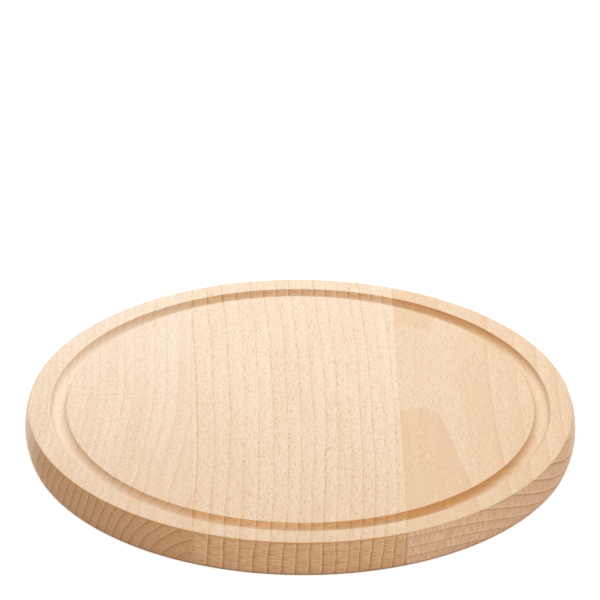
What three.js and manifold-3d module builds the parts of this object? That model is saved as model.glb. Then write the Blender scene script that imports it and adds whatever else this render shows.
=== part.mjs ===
// A round beech cutting board with a juice groove, in millimetres, with +Z up.
// Three staves are edge-glued with plain butt joints, then the glued blank is turned to a disc,
// its wall is left gently convex and the groove is routed through staves and glue lines alike.
// The origin is the centre of the underside. +Y runs along the grain, +X across the staves.

import * as THREE from "three";
import { mergeVertices } from "three/addons/utils/BufferGeometryUtils.js";
import Module from "manifold-3d";

// Driving dimensions
const BOARD_DIAMETER = 300;
const BOARD_THICKNESS = 20;
const WALL_BULGE = 2; // of the wall at mid height, past the line between its corners
const CORNER_RADIUS = 1; // of the eased corners above and below the wall
const RIM_WIDTH = 14; // from the board's widest point to the groove
const GROOVE_WIDTH = 8.6;
const GROOVE_DEPTH = 4;
const MIDDLE_STAVE_WIDTH = 113;
const MIDDLE_STAVE_OFFSET = -2.5; // of the stave's centre line from the board's centre, along X
const GLUE_LINE_THICKNESS = 0.2;

// Facets
const FACETS_AROUND = 144;
const WALL_STEPS = 6;
const CORNER_STEPS = 3;
const GROOVE_STEPS = 8;

const QUARTER_TURN = Math.PI / 2;
const boardRadius = BOARD_DIAMETER / 2;

const wasm = await Module();
wasm.setup();

// The closed surface of a three.js geometry as a solid that can be cut.
function solidOf(geometry) {
  geometry.deleteAttribute("normal");
  geometry.deleteAttribute("uv");
  const merged = mergeVertices(geometry);
  return new wasm.Manifold(
    new wasm.Mesh({
      numProp: 3,
      vertProperties: merged.attributes.position.array,
      triVerts: new Uint32Array(merged.index.array),
    }),
  );
}

function geometryOf(solid) {
  const { vertProperties, triVerts } = solid.getMesh();
  const geometry = new THREE.BufferGeometry();
  geometry.setAttribute("position", new THREE.BufferAttribute(vertProperties, 3));
  geometry.setIndex(new THREE.BufferAttribute(triVerts, 1));
  geometry.computeVertexNormals();
  return geometry;
}

// Points along an arc about (x, y), both ends included.
function arcPoints(x, y, radius, startAngle, endAngle, steps) {
  return Array.from({ length: steps + 1 }, (_, i) => {
    const angle = startAngle + ((endAngle - startAngle) * i) / steps;
    return new THREE.Vector2(x + radius * Math.cos(angle), y + radius * Math.sin(angle));
  });
}

// The groove's section from its outer lip to its inner lip, as a round-nosed cutter leaves it:
// a cove, with upright walls above it only where the groove is deeper than half its width.
function groovePoints() {
  const halfWidth = GROOVE_WIDTH / 2;
  const centreRadius = boardRadius - RIM_WIDTH - halfWidth;
  const coveDepth = Math.min(GROOVE_DEPTH, halfWidth);
  const coveRadius = (halfWidth ** 2 + coveDepth ** 2) / (2 * coveDepth);
  const coveCentre = BOARD_THICKNESS - GROOVE_DEPTH + coveRadius;
  const reach = Math.asin(halfWidth / coveRadius);
  const cove = arcPoints(
    centreRadius,
    coveCentre,
    coveRadius,
    -QUARTER_TURN + reach,
    -QUARTER_TURN - reach,
    GROOVE_STEPS,
  );
  if (GROOVE_DEPTH <= halfWidth) return cove;
  const outerLip = new THREE.Vector2(centreRadius + halfWidth, BOARD_THICKNESS);
  const innerLip = new THREE.Vector2(centreRadius - halfWidth, BOARD_THICKNESS);
  return [outerLip, ...cove, innerLip];
}

// The convex wall from the underside up to the top: one shallow arc between two eased corners,
// each of which runs tangent to the flat face and to the arc.
function wallPoints() {
  const halfHeight = BOARD_THICKNESS / 2;
  const wallRadius = (halfHeight ** 2 + WALL_BULGE ** 2) / (2 * WALL_BULGE);
  const wallCentre = boardRadius - wallRadius;
  const cornerRise = halfHeight - CORNER_RADIUS;
  const cornerReach = Math.sqrt((wallRadius - CORNER_RADIUS) ** 2 - cornerRise ** 2);
  const cornerCentre = wallCentre + cornerReach;
  const lean = Math.atan2(cornerRise, cornerReach);
  const topCorner = BOARD_THICKNESS - CORNER_RADIUS;
  return [
    ...arcPoints(cornerCentre, CORNER_RADIUS, CORNER_RADIUS, -QUARTER_TURN, -lean, CORNER_STEPS),
    ...arcPoints(wallCentre, halfHeight, wallRadius, -lean, lean, WALL_STEPS).slice(1, -1),
    ...arcPoints(cornerCentre, topCorner, CORNER_RADIUS, lean, QUARTER_TURN, CORNER_STEPS),
  ];
}

// The board's half section, from the centre of the underside round to the centre of the top.
function sectionPoints() {
  const undersideCentre = new THREE.Vector2(0, 0);
  const topCentre = new THREE.Vector2(0, BOARD_THICKNESS);
  return [undersideCentre, ...wallPoints(), ...groovePoints(), topCentre];
}

function turnedBlank() {
  const geometry = new THREE.LatheGeometry(sectionPoints(), FACETS_AROUND);
  return solidOf(geometry.rotateX(QUARTER_TURN));
}

// The slice of the blank between two upright planes across the staves.
function sliceOf(blank, fromX, toX) {
  const rightOfStart = blank.trimByPlane([1, 0, 0], fromX);
  return geometryOf(rightOfStart.trimByPlane([-1, 0, 0], -toX));
}

const beechMaterial = (color) => new THREE.MeshStandardMaterial({ color, roughness: 0.62, metalness: 0 });
const paleBeech = beechMaterial(0xf1dabd);
const fleckedBeech = beechMaterial(0xefd6b7);
const warmBeech = beechMaterial(0xebcda9);
const curedGlue = new THREE.MeshStandardMaterial({ color: 0xd9b893, roughness: 0.5, metalness: 0 });

const middleStart = MIDDLE_STAVE_OFFSET - MIDDLE_STAVE_WIDTH / 2;
const middleEnd = MIDDLE_STAVE_OFFSET + MIDDLE_STAVE_WIDTH / 2;

// From the left edge to the right edge of the board
const slices = [
  ["left_stave", -BOARD_DIAMETER, middleStart - GLUE_LINE_THICKNESS, paleBeech],
  ["left_glue_line", middleStart - GLUE_LINE_THICKNESS, middleStart, curedGlue],
  ["middle_stave", middleStart, middleEnd, fleckedBeech],
  ["right_glue_line", middleEnd, middleEnd + GLUE_LINE_THICKNESS, curedGlue],
  ["right_stave", middleEnd + GLUE_LINE_THICKNESS, BOARD_DIAMETER, warmBeech],
];

const board = new THREE.Group();
const blank = turnedBlank();
for (const [name, fromX, toX, material] of slices) {
  const piece = new THREE.Mesh(sliceOf(blank, fromX, toX), material);
  piece.name = name;
  board.add(piece);
}

export default board;
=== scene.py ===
"""The looks of a round beech cutting board.

Finer staves and glue lines than the CAD's, their wood and glue, and the studio and camera that show them.
"""

import math
from typing import NamedTuple

import bmesh
import bpy
from bpy.props import FloatProperty, FloatVectorProperty, IntProperty, PointerProperty
from mathutils import Matrix, Vector


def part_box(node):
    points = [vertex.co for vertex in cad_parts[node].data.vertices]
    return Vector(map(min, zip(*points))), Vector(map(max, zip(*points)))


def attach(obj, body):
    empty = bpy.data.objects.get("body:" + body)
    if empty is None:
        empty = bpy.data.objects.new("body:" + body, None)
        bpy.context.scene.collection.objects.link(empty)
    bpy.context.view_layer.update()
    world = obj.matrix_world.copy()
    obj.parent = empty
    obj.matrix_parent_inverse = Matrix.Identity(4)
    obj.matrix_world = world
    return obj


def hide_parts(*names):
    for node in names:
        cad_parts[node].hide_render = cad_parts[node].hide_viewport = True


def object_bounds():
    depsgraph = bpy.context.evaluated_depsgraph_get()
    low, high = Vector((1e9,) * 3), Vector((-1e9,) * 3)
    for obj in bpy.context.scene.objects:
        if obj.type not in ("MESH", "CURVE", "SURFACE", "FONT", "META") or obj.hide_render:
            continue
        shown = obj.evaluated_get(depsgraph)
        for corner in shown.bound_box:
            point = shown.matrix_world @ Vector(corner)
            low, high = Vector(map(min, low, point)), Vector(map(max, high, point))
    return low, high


bl_info = {
    "name": "Round Cutting Board",
    "version": (1, 0, 0),
    "blender": (4, 5, 0),
    "location": "View3D > Sidebar > Board",
    "description": "Builds the staves, glue lines, wood and studio of a round beech cutting board",
    "category": "Object",
}

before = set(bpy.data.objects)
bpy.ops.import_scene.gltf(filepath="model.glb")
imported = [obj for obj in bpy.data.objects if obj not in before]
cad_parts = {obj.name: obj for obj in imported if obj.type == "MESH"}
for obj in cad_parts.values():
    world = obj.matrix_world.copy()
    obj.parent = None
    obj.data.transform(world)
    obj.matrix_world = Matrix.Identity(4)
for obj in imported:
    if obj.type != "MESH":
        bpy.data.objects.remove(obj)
CAD_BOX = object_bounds()
CAD_LOW = Vector(CAD_BOX[0])
CAD_HIGH = Vector(CAD_BOX[1])
MM = 0.001
QUARTER_TURN = math.pi / 2

# Steps along the section
WALL_STEPS = 16
CORNER_STEPS = 6
GROOVE_STEPS = 24
LIP_STEPS = 5

# Cutting the blank
WELD = 0.001 * MM  # points nearer to each other than this are one
CUT_SNAP = 0.02 * MM  # points of the blank this near to a joint move onto it
EDGE_MARGIN = 0.01 * MM  # a side of a piece this near to the board's edge is no joint

# Waves in which rings stray and shiver, in millimetres along the board's own X, Y and Z
STRAY = (26, 90, 26)
SHIVER = (5, 70, 5)

# Marks in the wood, in millimetres out from the pith, around it and along the grain
FIBRES = (0.35, 0.35, 12)
STRIPES = (9, 9, 120)
FLECKS = (0.95, 0.95, 6.2)
DASHES = (1.0, 1.0, 6)
PORES = (0.6, 0.6, 1.5)
GRAIN_WIDTH = 0.18
SPOKE_LENGTH = 5.5
SPOKE_DEPTH = 3
FLECK_REACH = 0.35  # half a fleck's width and length, as a share of its cell
FLECK_CONTRAST = 1.2  # above 1, bold flecks are fewer than faint ones

# Growth rings: where in a year, from 0 to 1, each mark comes up
LATE_LINE = (0.8, 0.96)
EARLY_LINE = (0.2, 0.02)
YEAR_END = (1.0, 0.996)
FAINTEST_YEAR = 0.35  # as a share of the boldest
LEAN_EASE = 60  # millimetres over which the grain begins to lean
AROUND_BEYOND = 20  # millimetres past the first ring, where a turn about the pith is measured off

# Where colours change, in millimetres
WALL_COLOURS = (2.0, 6.0)  # out from the groove's outer lip
# Painted shade: ends of the grain in the groove are painted darker between these depths, darkest deep down
GROOVE_PAINTED_SHADE = (0.1, 3.5)  # below the cutting face
# Painted light: long grain in the groove is painted paler below these depths, making up for its shade
GROOVE_PAINTED_LIGHT = (0.1, 0.8)  # below the cutting face
# Painted shade: an orange line under the upper corner, where the rounding turns away from the light
CORNER_LINE = (1.1, 0.5)  # below the cutting face
# Painted shadow: a dark line over the lower corner, where the wall meets the floor
FOOT_LINE = (1.8, 0.4)  # above the underside
# Painted warm shade in the groove fades in between these distances
WARM_SHADE_SIDE = (52, 24)  # out from the first ring

WALL_TURN = 0.4  # how squarely the wall cuts the grain where it is all end, with no unit

# Tones before any mark is added
FACE_START = -0.14
END_START = -0.1

# Surface
FACE_ROUGHNESS = 0.5
END_ROUGHNESS = 0.68
OILED_IOR = 1.47
HOLLOW_DEPTH = 0.03 * MM
HOLLOW_STRENGTH = 0.3

# Glue that has soaked in
SOAK_SIZE = 6 * MM
SOAK_LIFT = 1.12  # how much paler it is there

# Sockets of a Mix node that mixes colours
MIX_FIRST = 6
MIX_SECOND = 7
MIX_RESULT = 2

# Camera, in degrees
CAMERA_HEIGHT = 28.901  # above the cutting face, seen from its centre
CAMERA_SIDE = 1.17  # to the left of the grain
CAMERA_PITCH = 27.893  # downward
CAMERA_AIM = 1.156  # to the right of the grain
CAMERA_ROLL = 0.464
SENSOR_WIDTH = 36  # millimetres
CAMERA_REACH = 100  # metres

# Studio
FLOOR_REACH = 12  # metres from the centre
FLOOR_SQUARES = 8
FLOOR_LIFT = 0.6  # glow that brings the floor to white where it is seen


def linear(hex_colour):
    """The linear colour of an sRGB hex value such as "F0D6B8"."""
    channels = [int(hex_colour[i : i + 2], 16) / 255 for i in (0, 2, 4)]
    return [c / 12.92 if c <= 0.04045 else ((c + 0.055) / 1.055) ** 2.4 for c in channels]


def colour(name, hex_colour, description):
    """A colour that a user can change, with an sRGB hex default."""
    return FloatVectorProperty(
        name=name,
        description=description,
        default=linear(hex_colour),
        subtype="COLOR",
        min=0,
        max=1,
    )


def length(name, millimetres, description):
    """A length that a user can change, with its default in millimetres."""
    return FloatProperty(
        name=name,
        description=description,
        default=millimetres * MM,
        unit="LENGTH",
        precision=5,
    )


def number(name, value, description):
    """A plain number that a user can change."""
    return FloatProperty(name=name, description=description, default=value)


class BoardSizes(bpy.types.PropertyGroup):
    """The turned shape of the board."""

    diameter: FloatProperty(
        name="Diameter",
        description="Widest diameter of the board",
        default=CAD_HIGH.x - CAD_LOW.x,
        unit="LENGTH",
    )
    thickness: FloatProperty(
        name="Thickness",
        description="Height from the underside to the cutting face",
        default=CAD_HIGH.z - CAD_LOW.z,
        unit="LENGTH",
    )
    wall_bulge: length("Wall bulge", 2, "Swell of the wall at mid height past its corners")
    corner_radius: length("Corner radius", 1, "Radius of the eased corners above and below the wall")
    rim_width: length("Rim width", 14, "Distance from the widest point to the groove")
    groove_width: length("Groove width", 8.6, "Width of the juice groove at the cutting face")
    groove_depth: length("Groove depth", 4, "Depth of the juice groove")
    lip_radius: length("Lip radius", 0.25, "Radius that sanding leaves on the groove's lips")
    facets_around: IntProperty(
        name="Facets around",
        description="Steps of the turned surface",
        default=360,
        min=48,
    )


class StaveLook:
    """What the three staves have in common. Places are in the board's own frame."""

    face_pale: colour("Face, early wood", "F5E2C7", "Long grain between two ring lines")
    face_dark: colour("Face, late wood", "DEB183", "Long grain at a ring line")
    fleck: colour("Fleck", "CD8E48", "Short flecks where rays reach the face")
    end_pale: colour("End, early wood", "EDBD8F", "Cut ends of the grain between two ring lines")
    end_dark: colour("End, late wood", "AC7D50", "Cut ends of the grain at a ring line")
    # Partly painted light: ends of the grain in the groove are painted paler than the wall's, making up for
    # the groove's shade
    groove_pale: colour("Groove end", "FFD29D", "Cut ends of the grain in the groove, freshly routed")
    # Painted shade: the groove is painted deeper orange in front, on the side towards the pith
    groove_warm_shade: colour("Groove end, heart", "F3BE7F", "The same, on the side next to the pith")
    # Painted shade: the orange line under the upper corner, where the rounding turns away from the light
    corner: colour("Corner", "CF8A42", "Burnished ends of the grain along the upper corner")
    # Painted shadow: the dark line over the lower corner, where the wall meets the floor
    foot: colour("Foot", "8F6038", "Burnished ends of the grain along the lower corner")
    pith_x: length("Pith X", 0, "Where the rings are centred, across the staves")
    pith_z: length("Pith Z", 0, "Where the rings are centred, above the underside")
    bow_x: number("Bow X", 0, "Sideways bow of the log per metre squared")
    bow_z: number("Bow Z", 0, "Upward bow of the log per metre squared")
    bow_y: length("Bow centre", 0, "Where along the grain the bow turns back")
    lean: number("Lean", 0, "Sideways slope of the log in front of the bow's centre")
    flank: number("Left flank", 1, "How far rings left of the pith follow a circle")
    first_ring: length("First ring", 50, "Radius of one ring line")
    ring_width: length("Ring width", 6, "Width of the ring outside that line")
    narrowing: number("Narrowing", 0, "Share by which rings narrow per metre")
    wander: length("Wander", 1.6, "How far rings stray from their circle")
    band_curve: number("Band curve", 2.5, "How late in the year wood darkens")
    band_share: number("Ring band", 0.15, "How dark late wood is on the face")
    line_share: number("Ring line", 0.52, "How dark a ring line is on the face")
    grain_share: number("Grain", 0.85, "How dark the fine grain is on the face")
    fleck_share: number("Flecks", 0.4, "How dark the flecks are on the face")
    end_band_share: number("Ring band, ends", 0.4, "How dark late wood is on cut ends")
    end_line_share: number("Ring line, ends", 0.4, "How dark a ring line is on cut ends")
    spoke_share: number("Spokes", 0.55, "How dark rays are on cut ends")
    spoke_width: length("Spoke width", 0.32, "Thickness of the rays on cut ends")
    # Painted sheen: the face is painted warmer in front and paler at the back, where the light's sheen falls
    painted_sheen: number("Toning", 0.45, "How much warmer the face turns towards the front")
    # Strength of the painted shade under the upper corner
    corner_share: number("Corner burnish", 0.85, "How strongly the upper corner is burnished")
    # Strength of the painted shadow over the lower corner
    foot_share: number("Foot burnish", 0.8, "How strongly the lower corner is burnished")
    # Painted shade: cut ends are painted darker where the wall turns to the sides, which less light reaches
    side_shade_share: number("Side tone", 0.15, "How much darker cut ends turn towards the sides")
    # Strength of the painted warm shade in the groove
    warm_shade_share: number("Heart tone", 0, "How much warmer the groove turns towards the pith in front")
    groove_turn: number("Groove turn", 0.85, "How squarely the groove cuts the grain where it is all end")
    groove_rings: number("Groove rings", 0.7, "How much of the pattern on cut ends shows in the groove")
    grain_length: length("Grain length", 3, "Length of the fine grain on the face")


class LeftStaveLook(StaveLook, bpy.types.PropertyGroup):
    """Quarter sawn at the edge, rift sawn near the joint, with grain that leans in front."""

    face_pale: colour("Face, early wood", "F6E5CE", "Long grain between two ring lines")
    end_pale: colour("End, early wood", "DDAB7C", "Cut ends of the grain between two ring lines")
    end_dark: colour("End, late wood", "A9774B", "Cut ends of the grain at a ring line")
    groove_pale: colour("Groove end", "F3CBA0", "Cut ends of the grain in the groove, freshly routed")
    pith_x: length("Pith X", -34, "Where the rings are centred, across the staves")
    pith_z: length("Pith Z", -11.5, "Where the rings are centred, above the underside")
    lean: number("Lean", 0.13, "Sideways slope of the log in front of the bow's centre")
    first_ring: length("First ring", 34.1, "Radius of one ring line")
    ring_width: length("Ring width", 5.8, "Width of the ring outside that line")
    narrowing: number("Narrowing", 4.45, "Share by which rings narrow per metre")
    line_share: number("Ring line", 0.25, "How dark a ring line is on the face")
    grain_share: number("Grain", 0.7, "How dark the fine grain is on the face")
    fleck_share: number("Flecks", 0.25, "How dark the flecks are on the face")
    end_band_share: number("Ring band, ends", 0.5, "How dark late wood is on cut ends")
    spoke_share: number("Spokes", 0.45, "How dark rays are on cut ends")
    painted_sheen: number("Toning", 0.55, "How much warmer the face turns towards the front")
    groove_rings: number("Groove rings", 0.45, "How much of the pattern on cut ends shows in the groove")


class MiddleStaveLook(StaveLook, bpy.types.PropertyGroup):
    """Quarter sawn: upright rings far from the pith, and the boldest flecks."""

    pith_x: length("Pith X", 500, "Where the rings are centred, across the staves")
    pith_z: length("Pith Z", -20, "Where the rings are centred, above the underside")
    bow_x: number("Bow X", 0.16, "Sideways bow of the log per metre squared")
    bow_y: length("Bow centre", -5, "Where along the grain the bow turns back")
    first_ring: length("First ring", 445.5, "Radius of one ring line")
    ring_width: length("Ring width", 5.7, "Width of the ring outside that line")
    narrowing: number("Narrowing", -1.7, "Share by which rings narrow per metre")
    grain_share: number("Grain", 0.66, "How dark the fine grain is on the face")
    fleck_share: number("Flecks", 0.8, "How dark the flecks are on the face")
    warm_shade_share: number("Heart tone", 1.0, "How much warmer the groove turns towards the pith in front")


class RightStaveLook(StaveLook, bpy.types.PropertyGroup):
    """Flat sawn: rings nearly level, so that they open into an arch on the face."""

    face_pale: colour("Face, early wood", "EED7B7", "Long grain between two ring lines")
    face_dark: colour("Face, late wood", "E0B283", "Long grain at a ring line")
    end_pale: colour("End, early wood", "F5CDA7", "Cut ends of the grain between two ring lines")
    end_dark: colour("End, late wood", "C8966A", "Cut ends of the grain at a ring line")
    groove_pale: colour("Groove end", "E6AC62", "Cut ends of the grain in the groove, freshly routed")
    pith_x: length("Pith X", 71.7, "Where the rings are centred, across the staves")
    pith_z: length("Pith Z", -80, "Where the rings are centred, above the underside")
    bow_z: number("Bow Z", -0.115, "Upward bow of the log per metre squared")
    bow_y: length("Bow centre", 42, "Where along the grain the bow turns back")
    flank: number("Left flank", 0.1, "How far rings left of the pith follow a circle")
    first_ring: length("First ring", 99.7, "Radius of one ring line")
    ring_width: length("Ring width", 5.55, "Width of the ring outside that line")
    wander: length("Wander", 0.18, "How far rings stray from their circle")
    band_curve: number("Band curve", 1.2, "How late in the year wood darkens")
    band_share: number("Ring band", 0.35, "How dark late wood is on the face")
    line_share: number("Ring line", 0.40, "How dark a ring line is on the face")
    grain_share: number("Grain", 1.2, "How dark the fine grain is on the face")
    fleck_share: number("Flecks", 0.1, "How dark the flecks are on the face")
    end_band_share: number("Ring band, ends", 0.3, "How dark late wood is on cut ends")
    end_line_share: number("Ring line, ends", 0.85, "How dark a ring line is on cut ends")
    spoke_share: number("Spokes", 0.7, "How dark rays are on cut ends")
    spoke_width: length("Spoke width", 0.5, "Thickness of the rays on cut ends")
    painted_sheen: number("Toning", 0.3, "How much warmer the face turns towards the front")
    corner_share: number("Corner burnish", 0.2, "How strongly the upper corner is burnished")
    side_shade_share: number("Side tone", 0.35, "How much darker cut ends turn towards the sides")
    groove_turn: number("Groove turn", 0.6, "How squarely the groove cuts the grain where it is all end")
    grain_length: length("Grain length", 4.2, "Length of the fine grain on the face")


class GlueLook(bpy.types.PropertyGroup):
    """The cured glue in the two joints."""

    film: colour("Film", "D9B48C", "Cured glue, stained by the wood on both sides")


class StageLook(bpy.types.PropertyGroup):
    """The studio and the camera."""

    floor: colour("Floor", "F2F1EF", "Pale studio floor")
    key_power: number("Key", 2.3, "Power of the softbox overhead")
    back_power: number("Back", 2.6, "Power of the low strip behind the board")
    front_power: number("Front", 3.0, "Power of the low softbox in front")
    zenith: number("Zenith", 1.05, "Strength of the dome of light overhead")
    horizon: number("Horizon", 0.0, "Strength of the dome of light at floor level")
    camera_distance: length("Camera distance", 3267.1, "From the camera to the centre of the cutting face")
    camera_lens: FloatProperty(
        name="Lens",
        description="Focal length on a 36 mm sensor",
        default=360,
        unit="CAMERA",
    )


class BoardSettings(bpy.types.PropertyGroup):
    """Everything that a user can change."""

    sizes: PointerProperty(type=BoardSizes)
    left: PointerProperty(type=LeftStaveLook)
    middle: PointerProperty(type=MiddleStaveLook)
    right: PointerProperty(type=RightStaveLook)
    glue: PointerProperty(type=GlueLook)
    stage: PointerProperty(type=StageLook)


# Shape


def arc(x, z, radius, start, end, steps):
    """Points along an arc of the section, both ends included."""
    angles = [start + (end - start) * i / steps for i in range(steps + 1)]
    return [(x + radius * math.cos(a), z + radius * math.sin(a)) for a in angles]


def wall_points(sizes):
    """The convex wall between its two eased corners, from the underside up."""
    half = sizes.thickness / 2
    corner = sizes.corner_radius
    radius = (half**2 + sizes.wall_bulge**2) / (2 * sizes.wall_bulge)
    centre = sizes.diameter / 2 - radius
    rise = half - corner
    reach = math.sqrt((radius - corner) ** 2 - rise**2)
    lean = math.atan2(rise, reach)
    points = arc(centre + reach, corner, corner, -QUARTER_TURN, -lean, CORNER_STEPS)
    points += arc(centre, half, radius, -lean, lean, WALL_STEPS)[1:-1]
    points += arc(centre + reach, sizes.thickness - corner, corner, lean, QUARTER_TURN, CORNER_STEPS)
    return points


def groove_points(sizes):
    """The cove from its outer lip to its inner lip, with both lips rounded by sanding."""
    top = sizes.thickness
    half = sizes.groove_width / 2
    depth = min(sizes.groove_depth, half)
    middle = sizes.diameter / 2 - sizes.rim_width - half
    radius = (half**2 + depth**2) / (2 * depth)
    centre = top - sizes.groove_depth + radius
    lip = sizes.lip_radius
    lip_height = top - lip
    lip_reach = math.sqrt((radius + lip) ** 2 - (lip_height - centre) ** 2)
    slope = math.atan2(centre - lip_height, lip_reach)
    outer = arc(middle + lip_reach, lip_height, lip, QUARTER_TURN, math.pi - slope, LIP_STEPS)
    cove = arc(middle, centre, radius, -slope, -math.pi + slope, GROOVE_STEPS)
    inner = arc(middle - lip_reach, lip_height, lip, slope, QUARTER_TURN, LIP_STEPS)
    return outer + cove[1:-1] + inner


def turned_blank(sizes):
    """The whole board before it is split at its joints, spun from its half section."""
    mesh = bmesh.new()
    verts = [mesh.verts.new((r, 0, z)) for r, z in wall_points(sizes) + groove_points(sizes)]
    edges = [mesh.edges.new(pair) for pair in zip(verts, verts[1:])]
    bmesh.ops.spin(
        mesh,
        geom=verts + edges,
        cent=(0, 0, 0),
        axis=(0, 0, 1),
        angle=math.tau,
        steps=sizes.facets_around,
        use_merge=True,
    )
    bmesh.ops.remove_doubles(mesh, verts=mesh.verts, dist=WELD)
    bmesh.ops.holes_fill(mesh, edges=[edge for edge in mesh.edges if edge.is_boundary])
    bmesh.ops.recalc_face_normals(mesh, faces=mesh.faces)
    for face in mesh.faces:
        face.smooth = True
    return mesh


def close_cut(mesh):
    """Close the flat opening that a cut has left, with sharp edges around it."""
    rim = [edge for edge in mesh.edges if edge.is_boundary]
    for edge in rim:
        edge.smooth = False
    cap = bmesh.ops.edgeloop_fill(mesh, edges=rim)["faces"]
    bmesh.ops.triangulate(mesh, faces=cap, ngon_method="BEAUTY")


def slice_of_board(name, node, blank, sizes):
    """The part of the blank that a CAD node holds, as a closed object in that node's place."""
    low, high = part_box(node)
    mesh = blank.copy()
    for x, side in ((low.x, -1), (high.x, 1)):
        if abs(x) > sizes.diameter / 2 - EDGE_MARGIN:
            continue
        everything = mesh.verts[:] + mesh.edges[:] + mesh.faces[:]
        bmesh.ops.bisect_plane(
            mesh,
            geom=everything,
            dist=CUT_SNAP,
            plane_co=(x, 0, 0),
            plane_no=(side, 0, 0),
            use_snap_center=True,
            clear_outer=True,
        )
        close_cut(mesh)
    bmesh.ops.recalc_face_normals(mesh, faces=mesh.faces)
    data = bpy.data.meshes.new(name)
    mesh.to_mesh(data)
    mesh.free()
    piece = bpy.data.objects.new(name, data)
    bpy.context.scene.collection.objects.link(piece)
    shading = piece.modifiers.new("Flat faces stay flat", "WEIGHTED_NORMAL")
    shading.keep_sharp = True
    return piece


def place(piece, node, material):
    """Let a piece stand for its CAD node, in its own finish."""
    piece.data.materials.append(material)
    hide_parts(node)
    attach(piece, "root")


# Nodes


def add(tree, kind, inputs=None, **settings):
    """Add a node, make its settings, and set or link its inputs."""
    node = tree.nodes.new(kind)
    for name, value in settings.items():
        setattr(node, name, value)
    for key, value in (inputs or {}).items():
        socket = node.inputs[key]
        if isinstance(value, bpy.types.Node):
            value = value.outputs[0]
        if isinstance(value, bpy.types.NodeSocket):
            tree.links.new(value, socket)
        else:
            socket.default_value = value
    return node


def seen_directly(tree):
    """1 for a ray from the camera, a mirror image or a view through glass, 0 for one that only lights."""
    rays = add(tree, "ShaderNodeLightPath").outputs
    plain_or_mirrored = {0: rays["Is Camera Ray"], 1: rays["Is Glossy Ray"]}
    seen = add(tree, "ShaderNodeMath", plain_or_mirrored, operation="MAXIMUM")
    return add(tree, "ShaderNodeMath", {0: seen, 1: rays["Is Transmission Ray"]}, operation="MAXIMUM")


def new_material(name):
    """An empty node material and its tree."""
    material = bpy.data.materials.new(name)
    material.use_nodes = True
    material.node_tree.nodes.clear()
    return material, material.node_tree


# Wood


class Rings(NamedTuple):
    """The marks of a year's growth, each from 0 to 1."""

    band: bpy.types.Node  # late wood, which darkens outward through the year
    line: bpy.types.Node  # its dark last line
    pale: bpy.types.Node  # the pale line after it


class Lie(NamedTuple):
    """How a point of the surface lies in the board and to the grain."""

    height: bpy.types.NodeSocket  # above the underside, in millimetres
    forward: bpy.types.Node  # 0 at the back of the board, 1 at the front
    across_grain: bpy.types.Node  # 1 where the surface cuts the grain squarely
    upward: bpy.types.NodeSocket  # 1 where it looks straight up
    on_wall: bpy.types.Node  # 1 on the outer wall and the rim beside it
    inside: bpy.types.Node  # 1 on the cutting face and in the groove


def streaks(tree, place_mm, seed, size_mm, low, high):
    """Soft marks of that size, from 0 to 1, where a noise passes between two levels."""
    spot = add(
        tree,
        "ShaderNodeMapping",
        {"Vector": place_mm, "Location": (seed, seed, seed), "Scale": [1 / size for size in size_mm]},
    )
    noise = add(tree, "ShaderNodeTexNoise", {"Vector": spot, "Scale": 1.0, "Detail": 1.0})
    return add(
        tree,
        "ShaderNodeMapRange",
        {"Value": noise, "From Min": low, "From Max": high},
        interpolation_type="SMOOTHSTEP",
    )


def flecks(tree, place_mm, seed, size_mm, reach):
    """Spindles scattered one to a cell of that size, each of its own strength, and as wide as their reach."""
    spot = add(
        tree,
        "ShaderNodeMapping",
        {"Vector": place_mm, "Location": (seed, seed, seed), "Scale": [1 / size for size in size_mm]},
    )
    cells = add(tree, "ShaderNodeTexVoronoi", {"Vector": spot, "Scale": 1.0, "Randomness": 1.0})
    body = add(
        tree,
        "ShaderNodeMapRange",
        {"Value": cells, "From Min": reach, "From Max": reach / 2},
        interpolation_type="SMOOTHSTEP",
    )
    chance = add(tree, "ShaderNodeSeparateColor", {0: cells.outputs["Color"]})
    strength = add(tree, "ShaderNodeMath", {0: chance, 1: FLECK_CONTRAST}, operation="POWER")
    return add(tree, "ShaderNodeMath", {0: body, 1: strength}, operation="MULTIPLY")


def sum_of_marks(tree, start, marks):
    """A tone from 0 to 1: a starting tone and each mark in its share."""
    tone = start
    for mark, share in marks:
        inputs = {0: mark, 1: share, 2: tone}
        tone = add(tree, "ShaderNodeMath", inputs, operation="MULTIPLY_ADD", use_clamp=True)
    return tone


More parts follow.
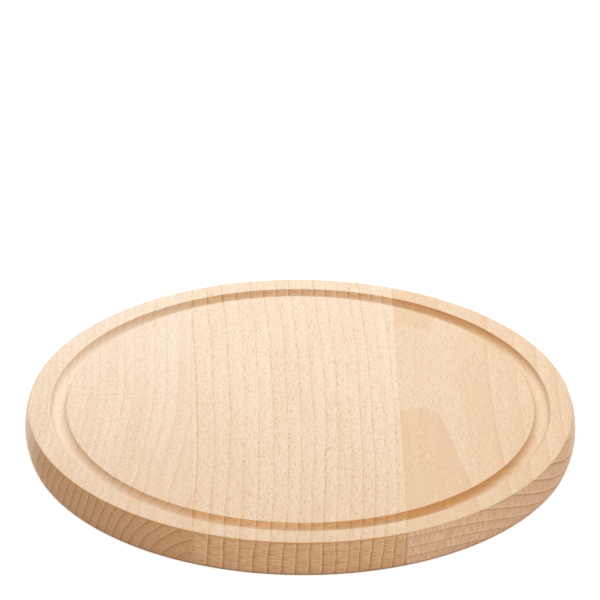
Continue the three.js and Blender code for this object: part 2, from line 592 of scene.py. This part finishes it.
def wood_place(tree, look, seed, place_mm):
    """Where a point lies in its log, in millimetres: out from the pith, around it, and along the grain."""
    x, y, z = add(tree, "ShaderNodeSeparateXYZ", {0: place_mm}).outputs
    along = add(tree, "ShaderNodeMath", {0: y, 1: look.bow_y / MM}, operation="SUBTRACT")
    bow = add(tree, "ShaderNodeMath", {0: along, 1: along}, operation="MULTIPLY")
    in_front = add(tree, "ShaderNodeMath", {0: along, 1: 0.0, 2: LEAN_EASE}, operation="SMOOTH_MIN")
    across = add(tree, "ShaderNodeMath", {0: x, 1: look.pith_x / MM}, operation="SUBTRACT")
    across = add(tree, "ShaderNodeMath", {0: bow, 1: look.bow_x * MM, 2: across}, operation="MULTIPLY_ADD")
    across = add(tree, "ShaderNodeMath", {0: in_front, 1: -look.lean, 2: across}, operation="MULTIPLY_ADD")
    height = add(tree, "ShaderNodeMath", {0: z, 1: look.pith_z / MM}, operation="SUBTRACT")
    height = add(tree, "ShaderNodeMath", {0: bow, 1: look.bow_z * MM, 2: height}, operation="MULTIPLY_ADD")
    turn = add(tree, "ShaderNodeMath", {0: across, 1: height}, operation="ARCTAN2")
    turn_radius = look.first_ring / MM + AROUND_BEYOND
    around = add(tree, "ShaderNodeMath", {0: turn, 1: turn_radius}, operation="MULTIPLY")
    flank = add(tree, "ShaderNodeMath", {0: across, 1: look.flank}, operation="MULTIPLY")
    across = add(tree, "ShaderNodeMath", {0: across, 1: flank}, operation="MAXIMUM")
    spoke = add(tree, "ShaderNodeCombineXYZ", {0: across, 1: height})
    radius = add(tree, "ShaderNodeVectorMath", {0: spoke}, operation="LENGTH").outputs["Value"]
    # Rings stray slowly along the grain, and shiver at a few millimetres across it
    wander = look.wander / MM
    stray = streaks(tree, place_mm, seed, STRAY, 0.2, 0.8)
    shiver = streaks(tree, place_mm, seed, SHIVER, 0.2, 0.8)
    radius = add(tree, "ShaderNodeMath", {0: stray, 1: wander, 2: radius}, operation="MULTIPLY_ADD")
    radius = add(tree, "ShaderNodeMath", {0: shiver, 1: wander / 3, 2: radius}, operation="MULTIPLY_ADD")
    radius = add(tree, "ShaderNodeMath", {0: radius, 1: wander * 2 / 3}, operation="SUBTRACT")
    return add(tree, "ShaderNodeCombineXYZ", {0: radius, 1: around, 2: y}), radius


def growth_rings(tree, look, radius):
    """The rings of a log at a distance from its pith, some years bolder than others."""
    out = add(tree, "ShaderNodeMath", {0: radius, 1: look.first_ring / MM}, operation="SUBTRACT")
    squeeze = add(tree, "ShaderNodeMath", {0: out, 1: look.narrowing * MM, 2: 1.0}, operation="MULTIPLY_ADD")
    count = add(tree, "ShaderNodeMath", {0: out, 1: MM / look.ring_width}, operation="MULTIPLY")
    count = add(tree, "ShaderNodeMath", {0: count, 1: squeeze}, operation="MULTIPLY")
    season = add(tree, "ShaderNodeMath", {0: count}, operation="FRACT")
    year = add(tree, "ShaderNodeMath", {0: count}, operation="FLOOR")
    chance = add(tree, "ShaderNodeTexWhiteNoise", {"W": year}, noise_dimensions="1D").outputs["Value"]
    share = add(tree, "ShaderNodeMapRange", {"Value": chance, "To Min": FAINTEST_YEAR})
    band = add(tree, "ShaderNodeMath", {0: season, 1: look.band_curve}, operation="POWER")
    start, end = YEAR_END
    fade = add(tree, "ShaderNodeMapRange", {"Value": season, "From Min": start, "From Max": end})
    band = add(tree, "ShaderNodeMath", {0: band, 1: fade}, operation="MULTIPLY")
    start, end = LATE_LINE
    line = add(
        tree,
        "ShaderNodeMapRange",
        {"Value": season, "From Min": start, "From Max": end},
        interpolation_type="SMOOTHSTEP",
    )
    line = add(tree, "ShaderNodeMath", {0: line, 1: share}, operation="MULTIPLY")
    start, end = EARLY_LINE
    pale = add(
        tree,
        "ShaderNodeMapRange",
        {"Value": season, "From Min": start, "From Max": end},
        interpolation_type="SMOOTHSTEP",
    )
    return Rings(band, line, pale)


def lie_of_surface(tree, sizes, place_mm):
    """Where the surface is on the board, and which way it faces."""
    y, z = add(tree, "ShaderNodeSeparateXYZ", {0: place_mm}).outputs[1:]
    edge = sizes.diameter / 2 / MM
    start, end = (edge - sizes.rim_width / MM + past_lip for past_lip in WALL_COLOURS)
    normal = add(tree, "ShaderNodeTexCoord").outputs["Normal"]
    turned = add(tree, "ShaderNodeSeparateXYZ", {0: normal}).outputs
    flat_place = add(tree, "ShaderNodeVectorMath", {0: place_mm, 1: (1, 1, 0)}, operation="MULTIPLY")
    from_axis = add(tree, "ShaderNodeVectorMath", {0: flat_place}, operation="LENGTH").outputs["Value"]
    on_wall = add(tree, "ShaderNodeMapRange", {"Value": from_axis, "From Min": start, "From Max": end})
    return Lie(
        height=z,
        forward=add(tree, "ShaderNodeMapRange", {"Value": y, "From Min": edge, "From Max": -edge}),
        across_grain=add(tree, "ShaderNodeMath", {0: turned[1]}, operation="ABSOLUTE"),
        upward=turned[2],
        on_wall=on_wall,
        inside=add(tree, "ShaderNodeMath", {0: 1.0, 1: on_wall}, operation="SUBTRACT"),
    )


def depth_in_groove(tree, sizes, lie, depths_mm):
    """From 0 to 1 between two depths below the cutting face, in the groove alone."""
    start, end = (sizes.thickness / MM - depth for depth in depths_mm)
    depth = add(tree, "ShaderNodeMapRange", {"Value": lie.height, "From Min": start, "From Max": end})
    return add(tree, "ShaderNodeMath", {0: depth, 1: lie.inside}, operation="MULTIPLY")


def face_colour(tree, look, seed, wood, rings, lie, painted_groove_light):
    """Long grain: soft stripes, fibres, grain a few millimetres long, broken ring lines and flecks."""
    grain = streaks(tree, wood, seed + 1, (GRAIN_WIDTH, GRAIN_WIDTH, look.grain_length / MM), 0.47, 0.7)
    fibres = streaks(tree, wood, seed + 2, FIBRES, 0.35, 0.65)
    stripes = streaks(tree, wood, seed + 3, STRIPES, 0.3, 0.7)
    bold = flecks(tree, wood, seed + 4, FLECKS, FLECK_REACH)
    dashes = streaks(tree, wood, seed + 7, DASHES, 0.38, 0.6)
    broken = add(tree, "ShaderNodeMapRange", {"Value": dashes, "To Min": 0.35, "To Max": 1.0})
    fine_line = add(tree, "ShaderNodeMath", {0: rings.line, 1: rings.line}, operation="MULTIPLY")
    broken_line = add(tree, "ShaderNodeMath", {0: fine_line, 1: broken}, operation="MULTIPLY")
    # Painted sheen: ring bands are painted fainter at the back and stronger in front
    painted_sheen_on_band = add(tree, "ShaderNodeMapRange", {"Value": lie.forward, "To Min": 0.45, "To Max": 1.1})
    face_band = add(tree, "ShaderNodeMath", {0: rings.band, 1: painted_sheen_on_band}, operation="MULTIPLY")
    tone = sum_of_marks(
        tree,
        FACE_START,
        (
            # Painted sheen: warmer and darker in front, paler at the back
            (lie.forward, look.painted_sheen),
            (face_band, look.band_share),
            (broken_line, look.line_share),
            (stripes, 0.12),
            (fibres, 0.12),
            (grain, look.grain_share),
            # Painted light: paler long grain in the groove
            (painted_groove_light, -0.2),
        ),
    )
    face = add(
        tree,
        "ShaderNodeMix",
        {0: tone, MIX_FIRST: (*look.face_pale, 1), MIX_SECOND: (*look.face_dark, 1)},
        data_type="RGBA",
    ).outputs[MIX_RESULT]
    # Flecks are stronger next to a ring line, and a painted sheen makes them fainter at the back and stronger
    # in front
    painted_sheen_on_flecks = add(tree, "ShaderNodeMapRange", {"Value": lie.forward, "To Min": 0.75, "To Max": 1.25})
    crowd = add(tree, "ShaderNodeMapRange", {"Value": rings.band, "To Min": 0.65, "To Max": 1.3})
    fleck_tone = add(tree, "ShaderNodeMath", {0: bold, 1: look.fleck_share}, operation="MULTIPLY")
    fleck_tone = add(tree, "ShaderNodeMath", {0: fleck_tone, 1: painted_sheen_on_flecks}, operation="MULTIPLY")
    fleck_tone = add(tree, "ShaderNodeMath", {0: fleck_tone, 1: crowd}, operation="MULTIPLY", use_clamp=True)
    flecked = add(
        tree,
        "ShaderNodeMix",
        {0: fleck_tone, MIX_FIRST: face, MIX_SECOND: (*look.fleck, 1)},
        data_type="RGBA",
    ).outputs[MIX_RESULT]
    return flecked, grain, bold


def groove_end_colour(tree, look, radius, lie):
    """Ends of the grain in the groove, partly painted light: paler at the back, and a painted warm shade
    towards the pith in front.
    """
    # Painted light: the groove is painted paler at the back
    painted_back_light = add(tree, "ShaderNodeMapRange", {"Value": lie.forward, "To Min": 0.35, "To Max": 0.0})
    pale = add(
        tree,
        "ShaderNodeMix",
        {0: painted_back_light, MIX_FIRST: (*look.groove_pale, 1), MIX_SECOND: (*look.face_pale, 1)},
        data_type="RGBA",
    ).outputs[MIX_RESULT]
    # Painted warm shade: deeper orange in front, on the side towards the pith
    start, end = (look.first_ring / MM + past_ring for past_ring in WARM_SHADE_SIDE)
    painted_warm_shade = add(
        tree,
        "ShaderNodeMapRange",
        {"Value": radius, "From Min": start, "From Max": end, "To Max": look.warm_shade_share},
        interpolation_type="SMOOTHSTEP",
    )
    painted_warm_shade = add(tree, "ShaderNodeMath", {0: painted_warm_shade, 1: lie.forward}, operation="MULTIPLY")
    return add(
        tree,
        "ShaderNodeMix",
        {0: painted_warm_shade, MIX_FIRST: pale, MIX_SECOND: (*look.groove_warm_shade, 1)},
        data_type="RGBA",
    ).outputs[MIX_RESULT]


def end_colour(tree, look, seed, wood, rings, radius, lie, depth):
    """Cut ends of the grain: rings, rays like spokes, and pores, the last two drawn coarser than they are."""
    spokes = streaks(tree, wood, seed + 5, (SPOKE_LENGTH, look.spoke_width / MM, SPOKE_DEPTH), 0.42, 0.66)
    spokes = add(tree, "ShaderNodeMath", {0: spokes, 1: lie.across_grain}, operation="MULTIPLY")
    pores = streaks(tree, wood, seed + 6, PORES, 0.3, 0.7)
    # Painted shade towards the sides, which less light reaches
    painted_side_shade = add(tree, "ShaderNodeMath", {0: 1.0, 1: lie.across_grain}, operation="SUBTRACT")
    tone = sum_of_marks(
        tree,
        END_START,
        (
            (rings.band, look.end_band_share),
            (rings.line, look.end_line_share),
            (spokes, look.spoke_share),
            (pores, 0.25),
            (rings.pale, -0.35),
            # Painted shade: darker deeper in the groove
            (depth, 0.3),
            (painted_side_shade, look.side_shade_share),
        ),
    )
    strength = add(tree, "ShaderNodeMapRange", {"Value": lie.on_wall, "To Min": look.groove_rings})
    tone = add(tree, "ShaderNodeMath", {0: tone, 1: strength}, operation="MULTIPLY")
    groove = groove_end_colour(tree, look, radius, lie)
    pale = add(
        tree,
        "ShaderNodeMix",
        {0: lie.on_wall, MIX_FIRST: groove, MIX_SECOND: (*look.end_pale, 1)},
        data_type="RGBA",
    ).outputs[MIX_RESULT]
    end = add(
        tree,
        "ShaderNodeMix",
        {0: tone, MIX_FIRST: pale, MIX_SECOND: (*look.end_dark, 1)},
        data_type="RGBA",
    ).outputs[MIX_RESULT]
    return end, spokes


def painted_corner_shade(tree, look, sizes, lie, end):
    """Ends of the grain with painted shade along the wall's two corners: orange under the upper one, dark
    over the lower.
    """
    corner_line = [sizes.thickness / MM - depth for depth in CORNER_LINE]
    for line, colour_there, share in (
        (corner_line, look.corner, look.corner_share),
        (FOOT_LINE, look.foot, look.foot_share),
    ):
        near = add(
            tree,
            "ShaderNodeMapRange",
            {"Value": lie.height, "From Min": line[0], "From Max": line[1], "To Max": share},
            interpolation_type="SMOOTHSTEP",
        )
        painted_shade = add(tree, "ShaderNodeMath", {0: near, 1: lie.on_wall}, operation="MULTIPLY")
        end = add(
            tree,
            "ShaderNodeMix",
            {0: painted_shade, MIX_FIRST: end, MIX_SECOND: (*colour_there, 1)},
            data_type="RGBA",
        ).outputs[MIX_RESULT]
    return end


def share_of_ends(tree, look, lie):
    """How far the surface shows ends of the grain, 0 on the face and on the level rim."""
    all_end = add(
        tree,
        "ShaderNodeMapRange",
        {"Value": lie.on_wall, "To Min": look.groove_turn, "To Max": WALL_TURN},
    )
    cut = add(
        tree,
        "ShaderNodeMapRange",
        {"Value": lie.across_grain, "From Min": 0.02, "From Max": all_end},
        interpolation_type="SMOOTHSTEP",
    )
    off_level = add(
        tree,
        "ShaderNodeMapRange",
        {"Value": lie.upward, "From Min": 0.9, "From Max": 0.6, "To Min": lie.inside},
        interpolation_type="SMOOTHSTEP",
    )
    return add(tree, "ShaderNodeMath", {0: cut, 1: off_level}, operation="MULTIPLY")


# Materials


def sanded_oiled_beech(name, look, sizes, seed):
    """Beech, sanded fine along the grain and rubbed with oil.

    To the eye: pale straw, thin darker ring lines, fine short grain, brown flecks where the rays reach the
    face, and ends of the grain that soak up the oil and turn darker and more orange. A satin sheen.
    All of it is one solid pattern, so that rings run on from the face into the groove and the wall.
    """
    material, tree = new_material(name)
    position = add(tree, "ShaderNodeTexCoord").outputs["Object"]
    place_mm = add(tree, "ShaderNodeVectorMath", {0: position, "Scale": 1 / MM}, operation="SCALE")
    wood, radius = wood_place(tree, look, seed, place_mm)
    rings = growth_rings(tree, look, radius)
    lie = lie_of_surface(tree, sizes, place_mm)
    painted_groove_light = depth_in_groove(tree, sizes, lie, GROOVE_PAINTED_LIGHT)
    # Painted shade that deepens towards the bottom of the groove
    depth = depth_in_groove(tree, sizes, lie, GROOVE_PAINTED_SHADE)
    face, grain, bold = face_colour(tree, look, seed, wood, rings, lie, painted_groove_light)
    end, spokes = end_colour(tree, look, seed, wood, rings, radius, lie, depth)
    end = painted_corner_shade(tree, look, sizes, lie, end)
    ends = share_of_ends(tree, look, lie)
    surface = add(
        tree,
        "ShaderNodeMix",
        {0: ends, MIX_FIRST: face, MIX_SECOND: end},
        data_type="RGBA",
    ).outputs[MIX_RESULT]
    roughness = add(
        tree,
        "ShaderNodeMapRange",
        {"Value": ends, "To Min": FACE_ROUGHNESS, "To Max": END_ROUGHNESS},
    )
    hollow = sum_of_marks(tree, 0.0, ((bold, 0.5), (grain, 0.2), (spokes, 0.3)))
    bump = add(
        tree,
        "ShaderNodeBump",
        {"Strength": HOLLOW_STRENGTH, "Distance": HOLLOW_DEPTH, "Height": hollow},
        invert=True,
    )
    shader = add(
        tree,
        "ShaderNodeBsdfPrincipled",
        {"Base Color": surface, "Roughness": roughness, "IOR": OILED_IOR, "Normal": bump},
    )
    add(tree, "ShaderNodeOutputMaterial", {"Surface": shader})
    return material


def cured_wood_glue(name, look):
    """Wood glue, squeezed to a film, cured and sanded flush.

    To the eye: a hair-thin line a little darker than the wood beside it, mottled where it soaked in.
    """
    material, tree = new_material(name)
    position = add(tree, "ShaderNodeTexCoord").outputs["Object"]
    soak = add(tree, "ShaderNodeTexNoise", {"Vector": position, "Scale": 1 / SOAK_SIZE, "Detail": 3.0})
    shade = add(tree, "ShaderNodeMapRange", {"Value": soak, "From Min": 0.3, "From Max": 0.7})
    soaked = [min(1, channel * SOAK_LIFT) for channel in look.film]
    film = add(
        tree,
        "ShaderNodeMix",
        {0: shade, MIX_FIRST: (*look.film, 1), MIX_SECOND: (*soaked, 1)},
        data_type="RGBA",
    ).outputs[MIX_RESULT]
    shader = add(
        tree,
        "ShaderNodeBsdfPrincipled",
        {"Base Color": film, "Roughness": FACE_ROUGHNESS, "IOR": OILED_IOR},
    )
    add(tree, "ShaderNodeOutputMaterial", {"Surface": shader})
    return material


def painted_floor(name, look):
    """A matt painted studio floor that shows white to the camera and keeps the board's shadow."""
    material, tree = new_material(name)
    lift = add(tree, "ShaderNodeMath", {0: seen_directly(tree), 1: FLOOR_LIFT}, operation="MULTIPLY")
    paint = add(tree, "ShaderNodeBsdfDiffuse", {"Color": (*look.floor, 1)})
    glow = add(tree, "ShaderNodeEmission", {"Color": (1, 1, 1, 1), "Strength": lift})
    both = add(tree, "ShaderNodeAddShader", {0: paint, 1: glow})
    add(tree, "ShaderNodeOutputMaterial", {"Surface": both})
    return material


# Operators


class BOARD_OT_staves(bpy.types.Operator):
    """Build the three beech staves"""

    bl_idname = "board.staves"
    bl_label = "Staves"
    bl_options = {"REGISTER", "UNDO"}

    def execute(self, context):
        settings = context.scene.round_board
        staves = (
            ("left_stave", "left_beech", settings.left, 11.0),
            ("middle_stave", "middle_beech", settings.middle, 37.0),
            ("right_stave", "right_beech", settings.right, 71.0),
        )
        blank = turned_blank(settings.sizes)
        for node, slot, look, seed in staves:
            piece = slice_of_board(node + "_wood", node, blank, settings.sizes)
            material = sanded_oiled_beech("sanded_oiled_" + slot, look, settings.sizes, seed)
            place(piece, node, material)
        blank.free()
        return {"FINISHED"}


class BOARD_OT_glue_lines(bpy.types.Operator):
    """Build the two glue lines between the staves"""

    bl_idname = "board.glue_lines"
    bl_label = "Glue lines"
    bl_options = {"REGISTER", "UNDO"}

    def execute(self, context):
        settings = context.scene.round_board
        material = cured_wood_glue("cured_wood_glue", settings.glue)
        blank = turned_blank(settings.sizes)
        for node in ("left_glue_line", "right_glue_line"):
            piece = slice_of_board(node + "_film", node, blank, settings.sizes)
            place(piece, node, material)
        blank.free()
        return {"FINISHED"}


class BOARD_OT_stage(bpy.types.Operator):
    """Set up the floor, the light and the camera"""

    bl_idname = "board.stage"
    bl_label = "Stage"
    bl_options = {"REGISTER", "UNDO"}

    def execute(self, context):
        look = context.scene.round_board.stage
        softboxes = (
            ("key_softbox", (0, 0.3, 1.05), (0.9, 0.7), look.key_power),
            ("back_softbox", (0, 0.85, 0.42), (1.2, 0.3), look.back_power),
            ("front_softbox", (0.45, -1.35, 0.42), (0.8, 0.5), look.front_power),
        )
        self.floor(context, look)
        self.dome(context, look)
        for name, place_at, size, power in softboxes:
            self.softbox(context, name, place_at, size, power)
        self.camera(context, look)
        context.scene.view_settings.view_transform = "Standard"
        return {"FINISHED"}

    def floor(self, context, look):
        """A floor far wider than any view of the board."""
        mesh = bmesh.new()
        bmesh.ops.create_grid(mesh, x_segments=FLOOR_SQUARES, y_segments=FLOOR_SQUARES, size=FLOOR_REACH)
        data = bpy.data.meshes.new("studio_floor")
        mesh.to_mesh(data)
        mesh.free()
        piece = bpy.data.objects.new("studio_floor", data)
        data.materials.append(painted_floor("matt_painted_floor", look))
        context.scene.collection.objects.link(piece)

    def dome(self, context, look):
        """Soft light from all round, strongest overhead, and white where it is seen."""
        world = context.scene.world or bpy.data.worlds.new("studio")
        context.scene.world = world
        world.use_nodes = True
        tree = world.node_tree
        tree.nodes.clear()
        towards = add(tree, "ShaderNodeTexCoord").outputs["Generated"]
        rise = add(tree, "ShaderNodeSeparateXYZ", {0: towards}).outputs[2]
        glow = add(tree, "ShaderNodeMapRange", {"Value": rise, "To Min": look.horizon, "To Max": look.zenith})
        strength = add(tree, "ShaderNodeMapRange", {"Value": seen_directly(tree), "To Min": glow})
        light = add(tree, "ShaderNodeBackground", {"Color": (1, 1, 1, 1), "Strength": strength})
        add(tree, "ShaderNodeOutputWorld", {"Surface": light})

    def softbox(self, context, name, place_at, size, power):
        """A rectangular soft light that faces the board."""
        data = bpy.data.lights.new(name, "AREA")
        data.shape = "RECTANGLE"
        data.size, data.size_y = size
        data.energy = power
        lamp = bpy.data.objects.new(name, data)
        lamp.location = place_at
        lamp.rotation_euler = (-Vector(place_at)).to_track_quat("-Z", "Y").to_euler()
        context.scene.collection.objects.link(lamp)

    def camera(self, context, look):
        """Long lens, from in front and above, turned a degree off the grain and tipped half a degree."""
        height, side = math.radians(CAMERA_HEIGHT), math.radians(CAMERA_SIDE)
        pitch, aim = math.radians(CAMERA_PITCH), math.radians(CAMERA_AIM)
        roll = math.radians(CAMERA_ROLL)
        reach = look.camera_distance * math.cos(height)
        place_at = Vector((-reach * math.sin(side), -reach * math.cos(side), 0))
        place_at.z = look.camera_distance * math.sin(height) + CAD_HIGH.z
        level = math.cos(pitch)
        forward = Vector((level * math.sin(aim), level * math.cos(aim), -math.sin(pitch)))
        right = forward.cross(Vector((0, 0, 1))).normalized()
        up = right.cross(forward)
        tipped_right = math.cos(roll) * right + math.sin(roll) * up
        tipped_up = math.cos(roll) * up - math.sin(roll) * right
        turn = Matrix((tipped_right, tipped_up, -forward)).transposed()
        data = bpy.data.cameras.new("photo_camera")
        data.lens = look.camera_lens
        data.sensor_width = SENSOR_WIDTH
        data.clip_end = CAMERA_REACH
        lens = bpy.data.objects.new("photo_camera", data)
        lens.matrix_world = Matrix.Translation(place_at) @ turn.to_4x4()
        context.scene.collection.objects.link(lens)
        context.scene.camera = lens


class BOARD_PT_sidebar(bpy.types.Panel):
    """The board's operators in the sidebar"""

    bl_idname = "BOARD_PT_sidebar"
    bl_label = "Round cutting board"
    bl_space_type = "VIEW_3D"
    bl_region_type = "UI"
    bl_category = "Board"

    def draw(self, context):
        for operator in OPERATORS:
            self.layout.operator(operator.bl_idname)


OPERATORS = (BOARD_OT_staves, BOARD_OT_glue_lines, BOARD_OT_stage)
GROUPS = (BoardSizes, LeftStaveLook, MiddleStaveLook, RightStaveLook, GlueLook, StageLook, BoardSettings)
CLASSES = (*GROUPS, *OPERATORS, BOARD_PT_sidebar)


def register():
    for cls in CLASSES:
        bpy.utils.register_class(cls)
    bpy.types.Scene.round_board = PointerProperty(type=BoardSettings)


def unregister():
    del bpy.types.Scene.round_board
    for cls in reversed(CLASSES):
        bpy.utils.unregister_class(cls)


def main():
    register()
    bpy.ops.board.stage()
    bpy.ops.board.staves()
    bpy.ops.board.glue_lines()


if __name__ == "__main__":
    main()
